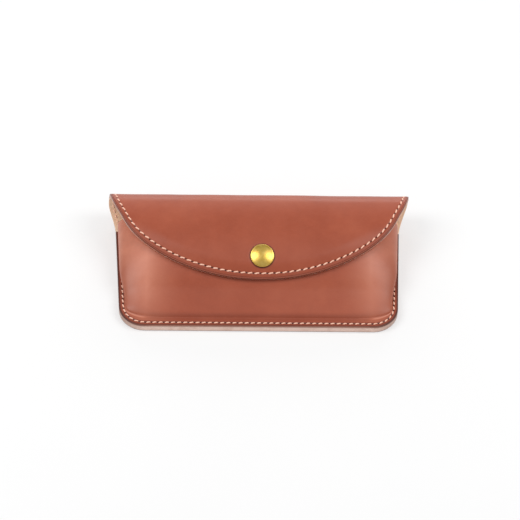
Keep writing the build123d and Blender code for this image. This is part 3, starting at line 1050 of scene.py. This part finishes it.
def grid_normals(points):
    """Outward normals of a grid of points, each from the faces that meet there."""
    faces = np.cross(points[1:, 1:] - points[:-1, :-1], points[1:, :-1] - points[:-1, 1:])
    normals = np.zeros(points.shape)
    for rows in (slice(None, -1), slice(1, None)):
        for columns in (slice(None, -1), slice(1, None)):
            normals[rows, columns] += faces
    for column, inside in ((0, 2), (1, 2), (-1, -3), (-2, -3)):
        normals[-2:, column] = normals[-2:, inside]
    return unit(normals)


def make_front():
    """Moulded front leather and its lining."""
    slope = 2 * MOUTH_SCOOP * back_half_width(MOUTH_Y) / WIDEST**2
    top = mouth_y(back_half_width(MOUTH_Y))
    layout = Seam(top, [unit(np.array([1, -slope])), unit(np.array([-1, -slope]))])
    grid, away, foot_row = front_grid(layout)
    hole = needle_holes(away, layout.column_holes[None])
    outer = front_surface(grid, away, hole, foot_row)
    # painted shade along the foot's crease, painted highlight at the bottom corners
    painted_light = np.zeros(hole.shape)
    foot = grid[foot_row]
    corner = smooth(*CORNER_X, np.abs(foot[:, 0])) * (1 - smooth(*CORNER_Y, foot[:, 1]))
    for row, amount in enumerate(CREASE_SHADE):
        painted_light[foot_row + CREASE_START + row] = -amount * (1 - 0.4 * corner)
    for row, amount in enumerate(CORNER_HIGHLIGHT):
        painted_light[foot_row - 1 + row] += amount * corner
    plain = front_surface(grid, np.full(away.shape, INSIDE), 0 * hole, foot_row)
    normals = grid_normals(plain)
    normals[: foot_row - 3] = (0, 0, 1)
    between, inside = plain - LEATHER * normals, plain - SHEET * normals
    values = {"edge": away * SEAM_EDGE_SCALE, "hole": hole, "painted_light": painted_light}
    materials = (STRETCHED_FACE, LINING_FACE, RIM)
    pouch_sheet("front_leather", "front_panel", outer, between, materials, values)
    pouch_sheet("front_suede", "front_lining", between, inside, LINING_FACES, values)
    return layout


FRONT_LAYOUT = make_front()


# ---- stitches

STITCH_RINGS = 13
STITCH_SIDES = 10
STITCH_RADIUS = 0.44
STITCH_FLAT = 0.72
STITCH_LEAN = 0.24
STITCH_SINK = 0.75
STITCH_RISE = 0.12
STITCH_GAP = 0.14
PLY = 0.10
FLOOR_SINK = 0.34


def stitch(start, end, out):
    """One stitch of two-ply thread that dips into a needle hole at each end."""
    along = end - start
    length = np.linalg.norm(along)
    along = along / length
    side = unit(np.cross(out, along))
    along = unit(along + STITCH_LEAN * side)
    side = unit(np.cross(out, along))
    rings = []
    for i in range(STITCH_RINGS):
        t = i / (STITCH_RINGS - 1)
        reach = (t - 0.5) * length * (1 - STITCH_GAP)
        arch = 1 - abs(2 * t - 1) ** 3.5
        height = arch * (STITCH_SINK + STITCH_RISE) - STITCH_SINK
        centre = (start + end) / 2 + reach * along + height * out
        thick = STITCH_RADIUS * (0.55 + 0.45 * (1 - abs(2 * t - 1) ** 3))
        for j in range(STITCH_SIDES):
            turn = 2 * math.pi * j / STITCH_SIDES
            ply = 1 + PLY * math.cos(2 * turn - 5.5 * t * math.pi)
            x = thick * ply * math.cos(turn)
            y = STITCH_FLAT * thick * ply * math.sin(turn)
            rings.append(centre + x * side + y * out)
    return rings


def stitch_faces(base):
    """Faces of a stitch whose points start at base."""
    faces = []
    for i in range(STITCH_RINGS - 1):
        for j in range(STITCH_SIDES):
            ring = base + i * STITCH_SIDES
            a, b = ring + j, ring + (j + 1) % STITCH_SIDES
            faces.append([a, b, b + STITCH_SIDES, a + STITCH_SIDES])
    last = base + (STITCH_RINGS - 1) * STITCH_SIDES
    faces.append([base + j for j in reversed(range(STITCH_SIDES))])
    faces.append([last + j for j in range(STITCH_SIDES)])
    return faces


def sew(name, stitches):
    """Object of many stitches, each (start, end, outward)."""
    points, faces = [], []
    for start, end, out in stitches:
        faces += stitch_faces(len(points))
        points += stitch(start, end, out)
    obj = mesh_object(name, points, faces, [THREAD])
    return obj


def sheet_stitches(depth, outward):
    """Stitches along the fold's sides and the flap's edge, in lists by piece."""
    layout = SHEET_LAYOUT
    holes = at(layout.path, layout.marks, layout.holes)
    groups = [[] for _ in BODIES]
    for a, b in zip(holes, holes[1:]):
        middle = (a + b) / 2
        group = min(int(np.searchsorted(PIECE_ENDS, middle[1])) - 1, len(JOINTS))
        bend = 0
        if group == len(JOINTS):
            bend = float(tuck(middle[None, :1], middle[None, 1:])[0, 0])
        sunk = FLOOR_SINK * (1 - smooth(1, 7, middle[1])) if outward > 0 else 0
        start, end = (sheet_point(p[0], p[1], depth + bend + sunk) for p in (a, b))
        out = sheet_profile(middle[1])[1]
        groups[group].append((start, end, outward * np.array([0, *out])))
    return groups


def sew_sheet(side, depth, outward, node):
    """Thread of the bent sheet on one of its faces."""
    for i, stitches in enumerate(sheet_stitches(depth, outward)):
        if i < len(JOINTS):
            obj = sew(f"fold_thread_{side}_{i + 1}", stitches)
            bend_with_fold(obj)
        else:
            obj = sew(f"flap_stitching_{side}", stitches)
            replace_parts(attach(obj, "flap"), node)


def sew_seam(name, layout, height, outward, node):
    """Thread of the seam on one of its flat faces."""
    holes = at(layout.path, layout.marks, layout.holes)
    out = np.array([0, 0, outward])
    ends = [np.array([*hole, height]) for hole in holes]
    obj = sew(name, [(a, b, out) for a, b in zip(ends, ends[1:])])
    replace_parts(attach(obj, "pouch"), node)


sew_sheet("outer", 0.1, 1, "flap_thread_top")
sew_sheet("inner", SHEET, -1, "flap_thread_under")
sew_seam("seam_stitching_front", FRONT_LAYOUT, FLANGE_TOP - 0.1, 1, "seam_thread_front")
sew_seam("seam_stitching_back", Seam(SEAM_TOP_Y, SIDEWAYS), 0.42, -1, "seam_thread_back")


# ---- press stud

CAP_RISE = 1.6
CAP_SEAT = -0.3
CAP_WALL = 0.4
POST_RADIUS = 1.8
POST_BORE = 1.2
SOCKET_TOP = -SHEET
SOCKET_BOTTOM = -4.5
SOCKET_BORE = 4.0
SPRING_HEIGHT = -3.8
SPRING_WIRE = 0.3
SPRING_TURN = math.radians(330)
STUD_SEAT = -5.2
STUD_NECK = 1.9
STUD_HEAD = 2.6
STUD_HEAD_BOTTOM = -4.2
STUD_TOP = -3.5
STUD_BORE_TOP = -4.0
STUD_POST_RADIUS = 1.3
STUD_POST_SEAT = -6.95
BRASS_SHEET = 0.4


def lathe(name, profile, metal_used, node, body, turn=2 * math.pi, sides=96):
    """Turned metal piece on the press stud's axis from (radius, height) corners."""
    origin = snap_place()
    out = np.array([0, -math.sin(SNAP_TILT), math.cos(SNAP_TILT)])
    across = np.array([1.0, 0, 0])
    up = np.cross(out, across)
    full = abs(turn - 2 * math.pi) < 1e-6
    steps = sides if full else sides + 1
    points, faces = [], []
    for i in range(steps):
        angle = turn * i / sides
        way = math.cos(angle) * across + math.sin(angle) * up
        points += [origin + r * way + h * out for r, h in profile]
    n = len(profile)
    for i in range(sides):
        a, b = i * n, (i + 1) % steps * n
        for j in range(n):
            k = (j + 1) % n
            faces.append([a + j, b + j, b + k, a + k])
    if not full:
        faces += [list(range(n)), [(steps - 1) * n + j for j in reversed(range(n))]]
    obj = mesh_object(name, points, faces, [metal_used])
    clean(obj)
    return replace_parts(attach(obj, body), node)


def clean(obj):
    """Merges points on the axis, turns all faces outward and keeps corners crisp."""
    work = bmesh.new()
    work.from_mesh(obj.data)
    bmesh.ops.remove_doubles(work, verts=work.verts, dist=1e-7)
    bmesh.ops.dissolve_degenerate(work, edges=work.edges, dist=1e-8)
    bmesh.ops.recalc_face_normals(work, faces=work.faces)
    work.to_mesh(obj.data)
    work.free()
    obj.data.set_sharp_from_angle(angle=math.radians(35))


def arc(centre_r, centre_h, radius, start, end, steps):
    """Points of a round corner, angles in degrees."""
    angles = np.radians(np.linspace(start, end, steps + 1))
    return [(centre_r + radius * math.cos(a), centre_h + radius * math.sin(a)) for a in angles]


def cap_profile():
    """Pressed dome with a rolled rim, hollow inside."""
    sphere = (CAP_RADIUS**2 + CAP_RISE**2) / (2 * CAP_RISE)
    radii = np.linspace(0, CAP_RADIUS - 0.7, 15)
    crown = [(r, CAP_RISE - sphere + math.sqrt(sphere**2 - r**2)) for r in radii]
    rim = arc(CAP_RADIUS - 0.45, 0.05, 0.45, 75, -50, 9)
    inside = [(max(r - 0.1, 0), h - CAP_WALL) for r, h in reversed(crown)]
    return crown + rim + [(CAP_RADIUS - 0.6, CAP_SEAT), (CAP_RADIUS - 0.6, -0.1)] + inside


def cap_post_profile():
    """Eyelet under the cap, its lower end rolled outward over the socket's plate."""
    head = CAP_RADIUS - 0.75
    plate = SOCKET_TOP - BRASS_SHEET
    roll = arc(POST_RADIUS + 0.35, plate - 0.22, 0.22, 90, -90, 6)
    top = [(POST_BORE, -0.12), (head, -0.12), (head, CAP_SEAT)]
    neck = [(POST_RADIUS, CAP_SEAT), (POST_RADIUS, plate)]
    return top + neck + roll + [(POST_BORE, plate - 0.44)]


def socket_profile():
    """Socket with a rounded outer corner and a groove for its spring."""
    corner = arc(SOCKET_RADIUS - 0.45, SOCKET_BOTTOM + 0.45, 0.45, 0, -90, 6)
    lip = arc(SOCKET_BORE + 0.25, SOCKET_BOTTOM + 0.25, 0.25, -90, -180, 4)
    groove = SPRING_WIRE + 0.05
    inside = [
        (SOCKET_BORE, SPRING_HEIGHT - groove),
        (SOCKET_BORE + groove, SPRING_HEIGHT - groove),
        (SOCKET_BORE + groove, SPRING_HEIGHT + groove),
        (SOCKET_BORE, SPRING_HEIGHT + groove),
        (SOCKET_BORE, SOCKET_TOP - BRASS_SHEET),
        (POST_RADIUS + 0.05, SOCKET_TOP - BRASS_SHEET),
    ]
    return [(POST_RADIUS + 0.05, SOCKET_TOP), (SOCKET_RADIUS, SOCKET_TOP)] + corner + lip + inside


def spring_profile():
    """Round wire of the socket's spring."""
    return arc(SOCKET_BORE, SPRING_HEIGHT, SPRING_WIRE, 0, 330, 11)


def stud_profile():
    """Stud pressed from sheet: a rounded base, a waist and a mushroom head."""
    base_top = STUD_SEAT + BRASS_SHEET
    base = arc(STUD_RADIUS - 0.2, STUD_SEAT + 0.2, 0.2, -90, 90, 6)
    waist = arc(STUD_NECK + 0.3, base_top + 0.3, 0.3, -90, -180, 5)
    head = arc(STUD_HEAD - 0.35, STUD_TOP - 0.35, 0.35, -60, 90, 8)
    neck = [(STUD_NECK, STUD_HEAD_BOTTOM)]
    dimple = [(1.1, STUD_TOP), (0.8, STUD_TOP - 0.12), (0, STUD_TOP - 0.16)]
    bore = [(0, STUD_BORE_TOP), (STUD_POST_RADIUS, STUD_BORE_TOP), (STUD_POST_RADIUS, STUD_SEAT)]
    return base + waist + neck + head + dimple + bore


def stud_post_profile():
    """Rivet with a domed flange inside the pouch."""
    bottom = STUD_POST_SEAT - BRASS_SHEET
    flange = arc(STUD_FLANGE - 0.2, STUD_POST_SEAT - 0.2, 0.2, -90, 90, 6)
    shank = [(STUD_POST_RADIUS, STUD_POST_SEAT), (STUD_POST_RADIUS, STUD_BORE_TOP)]
    button = [(0, bottom + 0.1), (0.8, bottom + 0.1), (1.2, bottom)]
    return button + flange + shank + [(0, STUD_BORE_TOP)]


lathe("snap_cap_dome", cap_profile(), BRASS, "snap_cap", "flap")
lathe("snap_cap_eyelet", cap_post_profile(), BRASS, "snap_cap_post", "flap")
lathe("snap_socket_ring", socket_profile(), BRASS, "snap_socket", "flap")
lathe("snap_spring_wire", spring_profile(), WIRE, "snap_spring", "flap", SPRING_TURN)
lathe("snap_stud_turned", stud_profile(), BRASS, "snap_stud", "pouch")
lathe("snap_stud_rivet", stud_post_profile(), BRASS, "snap_stud_post", "pouch")


# ---- floor, light and camera

VIEW_ELEVATION = math.radians(51.28)
VIEW_AZIMUTH = math.radians(1.8)
VIEW_ROLL = math.radians(0.51)
VIEW_DISTANCE = 1726.0
VIEW_TARGET = (0.86, -1.07, 14.0)
LENS = 202.3


def floor():
    """Wide pale surface just below the case."""
    m = Recipe("floor_paper")
    base = m.mix(m.noise(9, 2, 0.5), (182, 182, 182), (185, 185, 185))
    glow = {"Emission Color": (1, 1, 1, 1), "Emission Strength": 0.44}
    matt = {"Roughness": 0.9, "Specular IOR Level": 0.1}
    m.fill(m.shader, {"Base Color": base} | glow | matt)
    half, drop = 3000.0, -0.05
    corners = [(-half, -half, drop), (half, -half, drop), (half, half, drop), (-half, half, drop)]
    mesh_object("floor", corners, [[0, 1, 2, 3]], [m.made])


def softbox(name, place, target, width, height, watts):
    """Rectangular area light aimed at a point."""
    light = bpy.data.lights.new(name, "AREA")
    light.shape = "RECTANGLE"
    light.size, light.size_y, light.energy = width * MM, height * MM, watts
    obj = bpy.data.objects.new(name, light)
    place, target = Vector(place) * MM, Vector(target) * MM
    obj.location = place
    obj.rotation_euler = (target - place).to_track_quat("-Z", "Y").to_euler()
    bpy.context.scene.collection.objects.link(obj)


def studio():
    """White surroundings, a softbox on each side and a low one behind."""
    world = bpy.data.worlds.new("studio")
    world.use_nodes = True
    sky = world.node_tree.nodes["Background"]
    sky.inputs["Color"].default_value = (1, 1, 1, 1)
    sky.inputs["Strength"].default_value = 0.48
    bpy.context.scene.world = world
    softbox("left_box", (-545, -70, 778), (0, 0, 0), 430, 620, 3.8)
    softbox("right_box", (545, -70, 778), (0, 0, 0), 430, 620, 3.5)
    softbox("back_box", (0, 1000, 330), (0, 0, 20), 1400, 350, 4.9)


def camera():
    """View from the front and above, as in the photograph."""
    data = bpy.data.cameras.new("camera")
    data.lens, data.sensor_width = LENS, 36
    obj = bpy.data.objects.new("camera", data)
    turn = Matrix.Rotation(math.pi / 2 - VIEW_ELEVATION, 4, "X")
    turn = turn @ Matrix.Rotation(-VIEW_AZIMUTH, 4, "Y")
    back = turn @ Vector((0, 0, 1))
    place = Matrix.Translation((Vector(VIEW_TARGET) + VIEW_DISTANCE * back) * MM)
    obj.matrix_world = place @ turn @ Matrix.Rotation(VIEW_ROLL, 4, "Z")
    bpy.context.scene.collection.objects.link(obj)
    bpy.context.scene.camera = obj


bpy.context.scene.view_settings.view_transform = "Standard"
floor()
studio()
camera()
